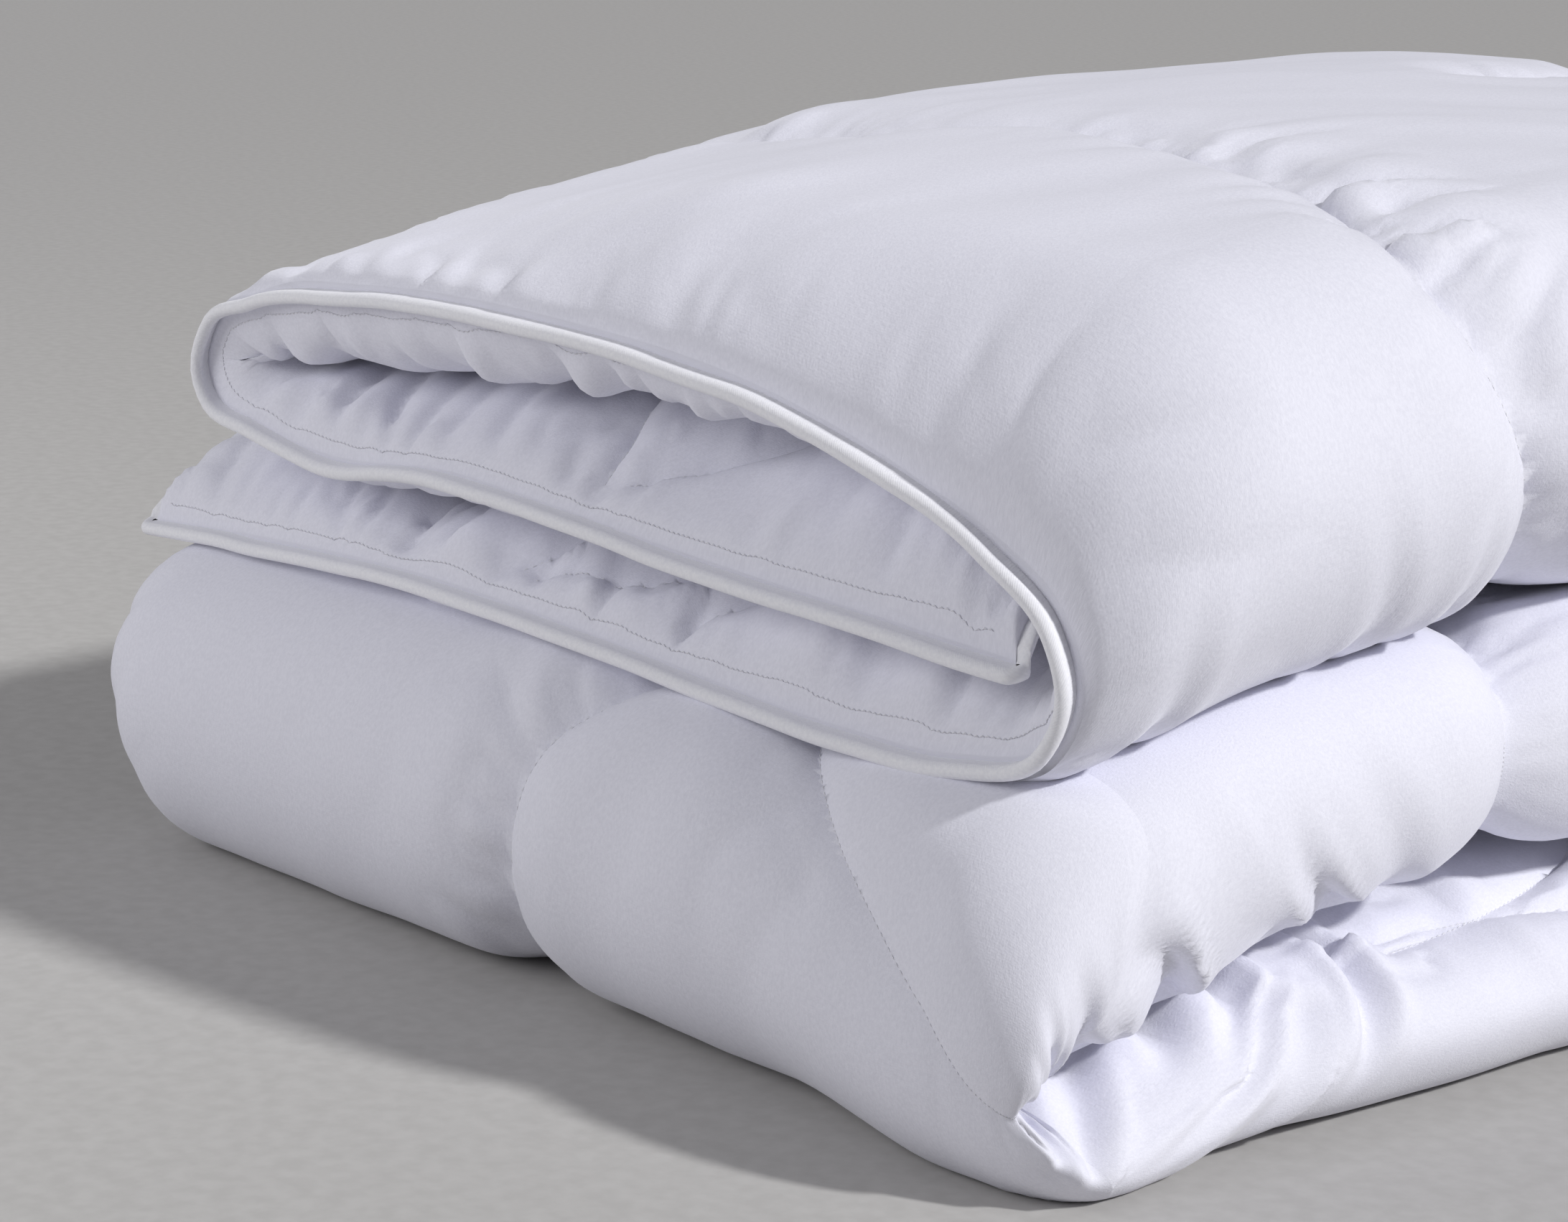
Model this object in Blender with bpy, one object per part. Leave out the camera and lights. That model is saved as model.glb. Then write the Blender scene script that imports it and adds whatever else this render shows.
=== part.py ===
"""A white quilted duvet, folded in three across its width and in three along its length.

The cloth is described flat: u runs across its width, v along its length, and w is the
distance from the middle of its thickness, positive towards its outer face. fold(u, v, w)
carries such a point to its place in the folded stack. Every piece is a slab or a line in
(u, v, w), taken through fold.

Frame: +Z up, the origin on the resting face under the stack, the open front edge towards -Y.
"""

import bmesh
import bpy
import numpy as np

# ---- Cloth, piping and thread (metres) ----
FABRIC = 0.0006  # thickness of one fabric panel
CLEARANCE = 0.0004  # gap between pieces that touch
CORD_CLEARANCE = 0.0030  # gap between lengths of piping or thread, at a fold
PIPING_RADIUS = 0.0036
PIPING_GAP = 0.0020  # between the cloth's edge and the piping
PIPING_OUT = PIPING_RADIUS + PIPING_GAP  # from the cloth's edge to the middle of the piping
THREAD_RADIUS = 0.0005
THREAD_GAP = 0.0008  # between a thread and the panel it lies on
THREAD_LIFT = THREAD_RADIUS + THREAD_GAP  # from a panel's face to the middle of a thread on it
SEAM_INSET = 0.006  # from the cloth's edge to the topstitching
EDGE_HALF = 0.0022  # half thickness of the wadding where it is sewn shut
EDGE_RISE = 0.085  # how far in from an edge the wadding reaches its full loft

# ---- The fold across the width: the flat cloth's u ----
BOTTOM_RUN = 0.680
RIGHT_BEND_RUN = 0.200
TOP_RUN = 0.567
LEFT_BEND_RUN = 0.105
MIDDLE_RUN = 0.590
U_ENDS = np.cumsum([0.0, BOTTOM_RUN, RIGHT_BEND_RUN, TOP_RUN, LEFT_BEND_RUN, MIDDLE_RUN])
WIDTH = U_ENDS[-1]

# ---- The fold along the length: places along y, and the flat cloth's v ----
FRONT_Y = -0.340  # the open front edge
FRONT_FOLD_Y = -0.315  # axis of the front fold
UPPER_RUN = 0.700
BACK_FOLD_Y = FRONT_Y + UPPER_RUN
BACK_FOLD_RUN = 0.270
MIDDLE_THIRD_RUN = BACK_FOLD_Y - FRONT_FOLD_Y
FRONT_FOLD_RUN = 0.180
LOWER_RUN = 0.620
V_ENDS = np.cumsum([0.0, UPPER_RUN, BACK_FOLD_RUN, MIDDLE_THIRD_RUN, FRONT_FOLD_RUN, LOWER_RUN])
LENGTH = V_ENDS[-1]

# ---- Cross-section of the folded strip: places across x ----
RIGHT_X = 0.3650  # middle of the cloth at the right bend
LEFT_X = -0.3095  # middle of the cloth at the left bend
LEFT_TIP_X = LEFT_X - 0.0780  # the cloth's long edge on the bottom layer
MIDDLE_END_X = RIGHT_X - 0.0550  # the cloth's other long edge, tucked inside the right bend
RIGHT_REACH_UPPER = 0.065  # how far the right bend stands out, in the upper third
RIGHT_REACH_LOWER = 0.046  # the same in the two thirds that are pressed below
LEFT_REACH = 0.034

# Heights of each layer's middle, and half thicknesses, as shares of the strip's thickness.
BOTTOM_AT, MIDDLE_AT, TOP_AT = 0.140, 0.450, 0.795
BOTTOM_HALF, RIGHT_HALF, TOP_HALF, LEFT_HALF, MIDDLE_HALF = 0.140, 0.150, 0.186, 0.120, 0.125
CURL_RUN = 0.085  # the bottom layer's edge curls round the left side in the lower thirds
CURL_SPAN = 0.060  # how far in from the left side it lies flat
CURL_AT = 0.700  # height of the curled edge

# ---- The stack ----
REST_GAP = 0.0050  # between one third and the next
UPPER_THICK = 0.186
UPPER_CROWN = 0.014
FRONT_FOLD_REACH = 0.86  # how far the folds stand out, as shares of the strip's thickness
BACK_FOLD_REACH = 0.74

# The faces between the thirds dip towards the front: (height at the front, height behind).
LOWER_TOP = (0.080, 0.120)
UPPER_BASE = (0.160, 0.208)
DIP_SPAN = 0.120

# The upper third sinks behind its front left corner.
SHOULDER_DROP = 0.027
SHOULDER_SIDE = (0.050, 0.250)  # where in x it starts to sink, and over what length
SHOULDER_START = 0.080  # run behind the front end over which it sinks
SHOULDER_END = (-0.220, 0.300)  # where in y it starts to recover, and over what length

# The open front edge, which is flatter than the rest: the part of the strip (0 to 1 along the
# bottom layer, 1 to 2 round the right bend and so on), the share of the way from LEFT_X to
# RIGHT_X, and the height as a share of UPPER_THICK.
FRONT_EDGE = (
    (0.00, -0.116, 0.030),
    (0.15, 0.029, 0.062),
    (0.40, 0.281, 0.089),
    (0.66, 0.548, 0.051),
    (0.88, 0.763, 0.013),
    (1.00, 0.878, 0.030),
    (1.30, 0.958, 0.105),
    (1.50, 0.982, 0.245),
    (1.70, 0.967, 0.395),
    (2.00, 0.904, 0.535),
    (2.23, 0.711, 0.739),
    (2.53, 0.459, 0.831),
    (2.81, 0.207, 0.825),
    (3.00, 0.051, 0.755),
    (3.36, -0.010, 0.675),
    (3.55, -0.029, 0.551),
    (3.74, -0.013, 0.444),
    (4.00, 0.044, 0.395),
    (4.34, 0.333, 0.384),
    (4.69, 0.637, 0.320),
    (5.00, 0.930, 0.277),
)

# ---- Quilting: one seam across each third, as a long wave ----
QUILT_SEAMS = {"upper": 0.290, "middle_third": V_ENDS[2] + 0.330, "lower": V_ENDS[4] + 0.125}
QUILT_WAVE = 0.050
QUILT_PITCH = 0.640
QUILT_PEAK_U = 1.180
QUILT_DEPTH = 0.55  # share of the loft that a seam takes away
QUILT_SPAN = 0.045  # how far to each side of it

SECTIONS = ("upper", "back_fold", "middle_third", "front_fold", "lower")
BEND_STEPS = 5
FOLD_STEPS = 5
LONGEST_ROW = 0.220  # rows of points further apart than this get one between them

COVER_COLOUR = (0.88, 0.88, 0.92, 1.0)
PIPING_COLOUR = (0.90, 0.90, 0.93, 1.0)
WADDING_COLOUR = (0.94, 0.94, 0.91, 1.0)
THREAD_COLOUR = (0.84, 0.84, 0.89, 1.0)


def smooth(t):
    """0 before t = 0, 1 after t = 1, and an even S-curve between."""
    t = np.clip(t, 0.0, 1.0)
    return t * t * (3.0 - 2.0 * t)


def through(knots, t):
    """A smooth curve through (place, value, ...) knots, with one column for each value."""
    knots = np.asarray(knots, float)
    at, value = knots[:, 0], knots[:, 1:]
    slope = np.gradient(value, at, axis=0)
    t = np.clip(np.asarray(t, float), at[0], at[-1])
    i = np.clip(np.searchsorted(at, t, side="right") - 1, 0, len(at) - 2)
    span = (at[i + 1] - at[i])[..., None]
    s = ((t - at[i]) / (at[i + 1] - at[i]))[..., None]
    return (
        (2 * s**3 - 3 * s**2 + 1) * value[i]
        + (s**3 - 2 * s**2 + s) * span * slope[i]
        + (3 * s**2 - 2 * s**3) * value[i + 1]
        + (s**3 - s**2) * span * slope[i + 1]
    )


def steps(knots, t):
    """Values that change by an S-curve from each (place, value) knot to the next."""
    at, value = np.asarray(knots, float).T
    i = np.clip(np.searchsorted(at, t, side="right") - 1, 0, len(at) - 2)
    return value[i] + (value[i + 1] - value[i]) * smooth((t - at[i]) / (at[i + 1] - at[i]))


def edge_rise(away):
    """Share of the full loft that the cloth has this far in from an edge."""
    return np.sqrt(1 - (1 - np.clip(away / EDGE_RISE, 0, 1)) ** 2)


def face_height(face, y):
    """Height at y of a face between two thirds."""
    front, back = face
    return back - (back - front) * np.exp(-(y - FRONT_Y) / DIP_SPAN)


def strip_thickness(v):
    """Thickness of the folded strip at v: loose in the upper third, pressed below."""
    middle_y = np.clip(BACK_FOLD_Y - (v - V_ENDS[2]), FRONT_FOLD_Y, BACK_FOLD_Y)
    lower_y = np.maximum(FRONT_FOLD_Y + (v - V_ENDS[4]), FRONT_FOLD_Y)
    lower = face_height(LOWER_TOP, lower_y) - REST_GAP
    middle = face_height(UPPER_BASE, middle_y) - face_height(LOWER_TOP, middle_y)
    middle = middle - 1.5 * REST_GAP
    pressed = smooth((v - V_ENDS[1]) / BACK_FOLD_RUN)
    under = smooth((v - V_ENDS[3]) / FRONT_FOLD_RUN)
    thick = UPPER_THICK + (middle - UPPER_THICK) * pressed
    return thick + (lower - thick) * under


def front_edge(u):
    """(x, z) of the middle of the cloth's thickness along the open front edge."""
    part, across, up = np.array(FRONT_EDGE).T
    base = face_height(UPPER_BASE, FRONT_Y) + REST_GAP / 2
    at = np.interp(part, np.arange(len(U_ENDS)), U_ENDS)
    x, z = LEFT_X + (RIGHT_X - LEFT_X) * across, base + UPPER_THICK * up
    return through(np.stack([at, x, z], axis=1), u)


def section(u, v):
    """(x, height in the strip) of the middle of the cloth's thickness."""
    thick = strip_thickness(v)
    pressed = smooth((v - V_ENDS[1]) / BACK_FOLD_RUN)
    reach = RIGHT_REACH_UPPER + (RIGHT_REACH_LOWER - RIGHT_REACH_UPPER) * pressed
    right, left = RIGHT_X - reach, LEFT_X + LEFT_REACH
    part = [np.clip((u - U_ENDS[i]) / (U_ENDS[i + 1] - U_ENDS[i]), 0, 1) for i in range(5)]

    turn = np.pi / 2 * (1 - np.clip(u / CURL_RUN, 0, 1))
    curl_x = LEFT_TIP_X + CURL_SPAN * (1 - np.sin(turn))
    flat = np.clip((u - CURL_RUN) / (BOTTOM_RUN - CURL_RUN), 0, 1)
    curl_x = curl_x + (right - LEFT_TIP_X - CURL_SPAN) * flat
    bottom_x = LEFT_TIP_X + (right - LEFT_TIP_X) * part[0]
    bottom_x = bottom_x + (curl_x - bottom_x) * pressed
    bottom_h = BOTTOM_AT + (CURL_AT - BOTTOM_AT) * (1 - np.cos(turn)) * pressed

    turn = np.pi * part[1]
    right_x = right + reach * np.sin(turn)
    right_h = (BOTTOM_AT + TOP_AT) / 2 - (TOP_AT - BOTTOM_AT) / 2 * np.cos(turn)

    top_x = right + (left - right) * part[2]
    crown = UPPER_CROWN * np.sin(np.pi * part[2]) * (1 - pressed) / thick

    turn = np.pi * part[3]
    left_x = left - LEFT_REACH * np.sin(turn)
    left_h = (TOP_AT + MIDDLE_AT) / 2 + (TOP_AT - MIDDLE_AT) / 2 * np.cos(turn)

    middle_x = left + (MIDDLE_END_X - left) * part[4]
    where = [u <= U_ENDS[1], u <= U_ENDS[2], u <= U_ENDS[3], u <= U_ENDS[4]]
    x = np.select(where, [bottom_x, right_x, top_x, left_x], middle_x)
    height = np.select(where, [bottom_h, right_h, TOP_AT + crown, left_h], MIDDLE_AT) * thick

    front = front_edge(u)
    base = face_height(UPPER_BASE, FRONT_Y + np.clip(v, 0, EDGE_RISE)) + REST_GAP / 2
    share = 1 - edge_rise(v)
    return x + (front[..., 0] - x) * share, height + (front[..., 1] - base - height) * share


def quilt_wave(u):
    return QUILT_WAVE * np.cos(2 * np.pi * (u - QUILT_PEAK_U) / QUILT_PITCH)


def half_loft(u, v):
    """Half the thickness of the wadding at (u, v)."""
    share = steps(
        (
            (0.0, BOTTOM_HALF),
            (U_ENDS[1] - 0.05, BOTTOM_HALF),
            ((U_ENDS[1] + U_ENDS[2]) / 2, RIGHT_HALF),
            (U_ENDS[2] + 0.10, TOP_HALF),
            (U_ENDS[3] - 0.08, TOP_HALF),
            (U_ENDS[3] + 0.01, LEFT_HALF),
            (U_ENDS[4] + 0.01, LEFT_HALF),
            (WIDTH, MIDDLE_HALF),
        ),
        u,
    )
    full = share * strip_thickness(v) - FABRIC
    for seam in QUILT_SEAMS.values():
        away = np.abs(v - seam - quilt_wave(u)) / QUILT_SPAN
        full = full * (1 - QUILT_DEPTH * (1 - smooth(away)))
    edge = np.minimum(np.minimum(u, WIDTH - u), np.minimum(v, LENGTH - v))
    return EDGE_HALF + np.maximum(full - EDGE_HALF, 0) * edge_rise(edge)


def face_w(u, v):
    """Distance from the middle of the cloth to the outside of a fabric panel."""
    return half_loft(u, v) + CLEARANCE + FABRIC


def lay(v, height):
    """(y, z) of a point at this height in the strip, with the thirds folded on each other."""
    upper_y = FRONT_Y + v
    upper_z = face_height(UPPER_BASE, upper_y) + REST_GAP / 2 + height

    turn = np.pi * np.clip((v - V_ENDS[1]) / BACK_FOLD_RUN, 0, 1)
    radius = REST_GAP / 2 + height
    heart = face_height(UPPER_BASE, BACK_FOLD_Y)
    back_y = BACK_FOLD_Y + BACK_FOLD_REACH * radius * np.sin(turn)
    back_z = heart + radius * np.cos(turn)

    middle_y = BACK_FOLD_Y - (v - V_ENDS[2])
    middle_z = face_height(UPPER_BASE, middle_y) - REST_GAP / 2 - height

    turn = np.pi * np.clip((v - V_ENDS[3]) / FRONT_FOLD_RUN, 0, 1)
    radius = strip_thickness(v) - height + REST_GAP
    core = face_height(LOWER_TOP, FRONT_FOLD_Y)
    front_y = FRONT_FOLD_Y - FRONT_FOLD_REACH * radius * np.sin(turn)
    front_z = core + radius * np.cos(turn)

    lower_y = FRONT_FOLD_Y + (v - V_ENDS[4])
    where = [v <= V_ENDS[1], v <= V_ENDS[2], v <= V_ENDS[3], v <= V_ENDS[4]]
    y = np.select(where, [upper_y, back_y, middle_y, front_y], lower_y)
    z = np.select(where, [upper_z, back_z, middle_z, front_z], height)
    return y, z


def settle(x, y, z):
    """Height of a point once the upper third has sunk behind its front left corner."""
    sunk = smooth((SHOULDER_SIDE[0] - x) / SHOULDER_SIDE[1])
    sunk = sunk * (1 - (1 - np.clip((y - FRONT_Y) / SHOULDER_START, 0, 1)) ** 2)
    sunk = sunk * (1 - smooth((y - SHOULDER_END[0]) / SHOULDER_END[1]))
    base = face_height(UPPER_BASE, np.maximum(y, FRONT_Y))
    height = np.clip((z - base) / UPPER_THICK, 0, 1)
    return z - SHOULDER_DROP * sunk * height


def fold(u, v, w):
    """Place in the folded stack of the cloth's point (u, v, w)."""
    u, v, w = np.broadcast_arrays(*(np.asarray(a, float) for a in (u, v, w)))
    step = 1e-4
    inside = np.clip(u, step, WIDTH - step)
    x0, h0 = section(inside - step, np.clip(v, 0, LENGTH))
    x1, h1 = section(inside + step, np.clip(v, 0, LENGTH))
    run = np.hypot(x1 - x0, h1 - h0)
    along_x, along_h = (x1 - x0) / run, (h1 - h0) / run
    x, height = section(np.clip(u, 0, WIDTH), np.clip(v, 0, LENGTH))
    past = u - np.clip(u, 0, WIDTH)
    x = x + past * along_x + w * along_h
    height = height + past * along_h - w * along_x
    y, z = lay(v, height)
    z = settle(x, y, z)
    pressed_flat = np.maximum(face_w(u, v) - w, 0)
    return np.stack([x, y, np.maximum(z, pressed_flat)], axis=-1)


def columns():
    """The u values at which every slab and thread has its points."""
    edge = [0.0, SEAM_INSET, 0.35 * EDGE_RISE, 0.67 * EDGE_RISE, EDGE_RISE]
    right = np.linspace(U_ENDS[1], U_ENDS[2], BEND_STEPS + 1)
    left = np.linspace(U_ENDS[3], U_ENDS[4], BEND_STEPS)
    middles = [(EDGE_RISE + U_ENDS[1]) / 2, (U_ENDS[4] + WIDTH - EDGE_RISE) / 2]
    top = U_ENDS[2] + TOP_RUN * np.array([0.2, 0.5, 0.8])
    return np.sort(np.concatenate([edge, WIDTH - np.array(edge), right, left, middles, top]))


def rows(name):
    """(v, share of the quilting wave) of each row of points in a section of the length."""
    index = SECTIONS.index(name)
    start, end = V_ENDS[index], V_ENDS[index + 1]
    start = start + CLEARANCE / 2 if index else start
    end = end - CLEARANCE / 2 if index < len(SECTIONS) - 1 else end
    if name.endswith("fold"):
        return [(v, 0.0) for v in np.linspace(start, end, FOLD_STEPS + 1)]
    found = [(start, 0.0), (end, 0.0)]
    found += [(QUILT_SEAMS[name] + k * QUILT_SPAN, 1.0) for k in (-1, 0, 1)]
    edge = (SEAM_INSET, 0.35 * EDGE_RISE, EDGE_RISE)
    if index == 0:
        found += [(v, 0.0) for v in edge]
    if index == len(SECTIONS) - 1:
        found += [(LENGTH - v, 0.0) for v in edge]
    found.sort()
    for (v, _), (after, _) in zip(found[:-1], found[1:]):
        if after - v > LONGEST_ROW:
            found.append(((v + after) / 2, 0.0))
    return sorted(found)


def finish_object(name, data, material):
    """Adds the object for this mesh or curve to the duvet's collection."""
    obj = bpy.data.objects.new(name, data)
    obj.data.materials.append(material)
    parts.objects.link(obj)
    obj.parent = holders[next((s for s in SECTIONS if name.endswith(s)), "upper")]
    obj.matrix_parent_inverse = obj.parent.matrix_world.inverted()
    return obj


def slab(name, section_name, low, high, material):
    """A closed slab of cloth between w = low(u, v) and w = high(u, v)."""
    across, length = columns(), rows(section_name)
    mesh = bpy.data.meshes.new(name)
    shape = bmesh.new()
    bmesh.ops.create_grid(shape, x_segments=len(across) - 1, y_segments=len(length) - 1, size=0.5)
    bmesh.ops.triangulate(shape, faces=shape.faces[:])
    made = bmesh.ops.extrude_face_region(shape, geom=shape.faces[:])
    for vertex in made["geom"]:
        if isinstance(vertex, bmesh.types.BMVert):
            vertex.co.z = 1.0
    bmesh.ops.recalc_face_normals(shape, faces=shape.faces[:])
    column = [round((vertex.co.x + 0.5) * (len(across) - 1)) for vertex in shape.verts]
    row = [round((vertex.co.y + 0.5) * (len(length) - 1)) for vertex in shape.verts]
    u = across[column]
    v = np.array([length[j][0] for j in row])
    v = v + np.array([length[j][1] for j in row]) * quilt_wave(u)
    upper_side = np.array([vertex.co.z > 0.5 for vertex in shape.verts])
    w = np.where(upper_side, high(u, v), low(u, v))
    for vertex, place in zip(shape.verts, fold(u, v, w)):
        vertex.co = place
    bmesh.ops.reverse_faces(shape, faces=shape.faces[:])  # fold mirrors the flat cloth
    bmesh.ops.triangulate(shape, faces=shape.faces[:])
    shape.to_mesh(mesh)
    shape.free()
    mesh.shade_smooth()
    mesh.set_sharp_from_angle(angle=np.radians(50))
    return finish_object(name, mesh, material)


def cord(name, u, v, w, radius, sides, material):
    """A round cord or thread along the cloth's points (u, v, w)."""
    curve = bpy.data.curves.new(name, "CURVE")
    curve.dimensions = "3D"
    curve.bevel_depth = radius
    curve.bevel_resolution = sides
    curve.use_fill_caps = True
    places = fold(u, v, w)
    line = curve.splines.new("POLY")
    line.points.add(len(places) - 1)
    for point, place in zip(line.points, places):
        point.co = (*place, 1.0)
    return finish_object(name, curve, material)


def make_cover_and_wadding(name):
    slab(f"wadding_{name}", name, lambda u, v: -half_loft(u, v), half_loft, wadding)
    slab(f"outer_panel_{name}", name, lambda u, v: face_w(u, v) - FABRIC, face_w, cover)
    slab(
        f"inner_panel_{name}",
        name,
        lambda u, v: -face_w(u, v),
        lambda u, v: FABRIC - face_w(u, v),
        cover,
    )


def make_side_piping(name):
    """The piping and its topstitching along both long edges of one section."""
    row, waved = np.array(rows(name)).T
    index = SECTIONS.index(name)
    start = V_ENDS[index] + CORD_CLEARANCE / 2
    end = V_ENDS[index + 1] - CORD_CLEARANCE / 2
    for side, edge, inward in (("outer", 0.0, 1.0), ("inner", WIDTH, -1.0)):
        v = np.clip(row + waved * quilt_wave(edge), start, end)
        u = edge - inward * PIPING_OUT
        cord(f"{side}_side_piping_{name}", u, v, 0.0, PIPING_RADIUS, 1, piping)
        u = edge + inward * SEAM_INSET
        v = row + waved * quilt_wave(u)
        v = np.unique(np.clip(v, max(start, 2 * SEAM_INSET), min(end, LENGTH - 2 * SEAM_INSET)))
        w = -face_w(u, v) - THREAD_LIFT
        cord(f"{side}_side_topstitch_{name}", u, v, w, THREAD_RADIUS, 0, thread)


def make_end_piping(name, end_v, direction):
    """The piping and its topstitching along a short edge. direction points into the cloth."""
    u = np.concatenate([[-PIPING_OUT], columns(), [WIDTH + PIPING_OUT]])
    fine = np.sort(np.concatenate([u, (u[1:] + u[:-1]) / 2]))
    cord(f"{name}_end_piping", fine, end_v - direction * PIPING_OUT, 0.0, PIPING_RADIUS, 1, piping)
    u = columns()[1:-1]
    v = end_v + direction * SEAM_INSET
    w = -face_w(u, v) - THREAD_LIFT
    cord(f"{name}_end_topstitch", u, v, w, THREAD_RADIUS, 0, thread)


def make_quilting(name):
    """The needle thread and the bobbin thread of the seam across one third."""
    u = columns()[2:-2]
    v = QUILT_SEAMS[name] + quilt_wave(u)
    away = face_w(u, v) + THREAD_LIFT
    cord(f"needle_thread_{name}", u, v, away, THREAD_RADIUS, 0, thread)
    cord(f"bobbin_thread_{name}", u, v, -away, THREAD_RADIUS, 0, thread)


def make_material(name, colour, roughness):
    material = bpy.data.materials.new(name)
    material.use_nodes = True
    shader = material.node_tree.nodes["Principled BSDF"]
    shader.inputs["Base Color"].default_value = colour
    shader.inputs["Roughness"].default_value = roughness
    shader.inputs["Metallic"].default_value = 0.0
    return material


def make_holder(name, y, z):
    """An empty that carries one third. It stands on the axis that the third folds about."""
    holder = bpy.data.objects.new(name, None)
    holder.location = (0.0, y, z)
    parts.objects.link(holder)
    return holder


for old in list(bpy.data.objects):
    bpy.data.objects.remove(old)

parts = bpy.data.collections.new("folded_duvet")
bpy.context.scene.collection.children.link(parts)

cover = make_material("cover_fabric", COVER_COLOUR, 0.85)
piping = make_material("piping_fabric", PIPING_COLOUR, 0.8)
wadding = make_material("wadding", WADDING_COLOUR, 0.95)
thread = make_material("thread", THREAD_COLOUR, 0.6)

front_axis_z = float(face_height(LOWER_TOP, FRONT_FOLD_Y))
back_axis_z = float(face_height(UPPER_BASE, BACK_FOLD_Y))
lower_holder = make_holder("lower_third", FRONT_FOLD_Y, front_axis_z)
middle_holder = make_holder("middle_third", FRONT_FOLD_Y, front_axis_z)
upper_holder = make_holder("upper_third", BACK_FOLD_Y, back_axis_z)
middle_holder.parent = lower_holder
upper_holder.parent = middle_holder
middle_holder.matrix_parent_inverse = lower_holder.matrix_world.inverted()
bpy.context.view_layer.update()
holders = {
    "upper": upper_holder,
    "back_fold": middle_holder,
    "middle_third": middle_holder,
    "front_fold": lower_holder,
    "lower": lower_holder,
}

for section_name in SECTIONS:
    make_cover_and_wadding(section_name)
    make_side_piping(section_name)
for section_name in QUILT_SEAMS:
    make_quilting(section_name)
make_end_piping("front", 0.0, 1.0)
make_end_piping("back", LENGTH, -1.0)
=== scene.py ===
"""Looks for the folded duvet: puffed pads with puckered seams, corded piping, stitches, fabric.

The cloth is described flat, as in the CAD source: u across its width, v along its length, and w
from the middle of its thickness towards its outer face. fold(u, v, w) carries such a point to
its place in the folded stack. Every piece is a grid or a line in (u, v, w), taken through fold.
"""

import math

import bpy
import numpy as np
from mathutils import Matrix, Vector
from mathutils.kdtree import KDTree


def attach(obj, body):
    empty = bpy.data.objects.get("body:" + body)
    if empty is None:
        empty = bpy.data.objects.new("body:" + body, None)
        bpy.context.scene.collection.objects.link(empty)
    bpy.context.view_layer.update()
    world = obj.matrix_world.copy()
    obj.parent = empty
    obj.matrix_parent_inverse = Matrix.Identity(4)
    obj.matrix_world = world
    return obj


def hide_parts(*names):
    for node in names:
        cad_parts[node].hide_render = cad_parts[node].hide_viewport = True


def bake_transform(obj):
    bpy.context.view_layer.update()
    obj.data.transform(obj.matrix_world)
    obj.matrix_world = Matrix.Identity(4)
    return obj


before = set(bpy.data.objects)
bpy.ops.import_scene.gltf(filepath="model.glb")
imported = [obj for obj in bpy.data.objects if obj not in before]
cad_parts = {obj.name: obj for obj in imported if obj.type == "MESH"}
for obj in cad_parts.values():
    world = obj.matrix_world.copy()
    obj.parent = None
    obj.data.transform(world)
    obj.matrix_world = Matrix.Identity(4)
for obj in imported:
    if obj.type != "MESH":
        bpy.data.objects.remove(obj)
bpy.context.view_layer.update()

# ---- The folded cloth's sizes, as in the CAD source (metres) ----
FABRIC = 0.0006
CLEARANCE = 0.0004
CORD_CLEARANCE = 0.0030
PIPING_RADIUS = 0.0036
PIPING_OUT = PIPING_RADIUS + 0.0020
SEAM_INSET = 0.006
EDGE_HALF = 0.0022
EDGE_RISE = 0.085

U_ENDS = np.cumsum([0.0, 0.680, 0.200, 0.567, 0.105, 0.590])
WIDTH = U_ENDS[-1]
FRONT_Y = -0.340
FRONT_FOLD_Y = -0.315
UPPER_RUN = 0.700
BACK_FOLD_Y = FRONT_Y + UPPER_RUN
BACK_FOLD_RUN = 0.270
FRONT_FOLD_RUN = 0.180
MIDDLE_THIRD_RUN = BACK_FOLD_Y - FRONT_FOLD_Y
V_ENDS = np.cumsum([0.0, UPPER_RUN, BACK_FOLD_RUN, MIDDLE_THIRD_RUN, FRONT_FOLD_RUN, 0.620])
LENGTH = V_ENDS[-1]

RIGHT_X = 0.3650
LEFT_X = -0.3095
LEFT_TIP_X = LEFT_X - 0.0780
MIDDLE_END_X = RIGHT_X - 0.0550
RIGHT_REACH_UPPER = 0.065
RIGHT_REACH_LOWER = 0.046
LEFT_REACH = 0.034
BOTTOM_AT, MIDDLE_AT, TOP_AT = 0.140, 0.450, 0.795
BOTTOM_HALF, RIGHT_HALF, TOP_HALF, LEFT_HALF, MIDDLE_HALF = 0.140, 0.150, 0.186, 0.120, 0.125
CURL_RUN = 0.085
CURL_SPAN = 0.060
CURL_AT = 0.700

REST_GAP = 0.0050
UPPER_THICK = 0.186
UPPER_CROWN = 0.014
FRONT_FOLD_REACH = 0.86
BACK_FOLD_REACH = 0.74
LOWER_TOP = (0.080, 0.120)
UPPER_BASE = (0.160, 0.208)
DIP_SPAN = 0.120

# ---- The crease at the right between the middle and lower thirds (metres) ----
CREASE_SIDE = (0.180, 0.120)  # where in x it starts to drop, and over what length
CREASE_DROP = 0.028
CREASE_FADE = 0.060  # how far ahead of the front fold's axis the drop fades out
CREASE_SHIFT = (-0.041, -0.018)  # how far its front end moves in y and z
CREASE_REACH = (0.080, 0.078)  # how far ahead of and behind that end the shift reaches
CREASE_ASIDE = 0.085
CREASE_ROUND = 0.15

# ---- The upper third's sunken front left shoulder (metres) ----
SHOULDER_DROP = 0.027
SHOULDER_SIDE = (0.050, 0.250)  # where in x it starts to sink, and over what length
SHOULDER_START = 0.080  # run behind the front end over which it sinks
SHOULDER_END = (-0.220, 0.300)  # where in y it starts to recover, and over what length

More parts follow.
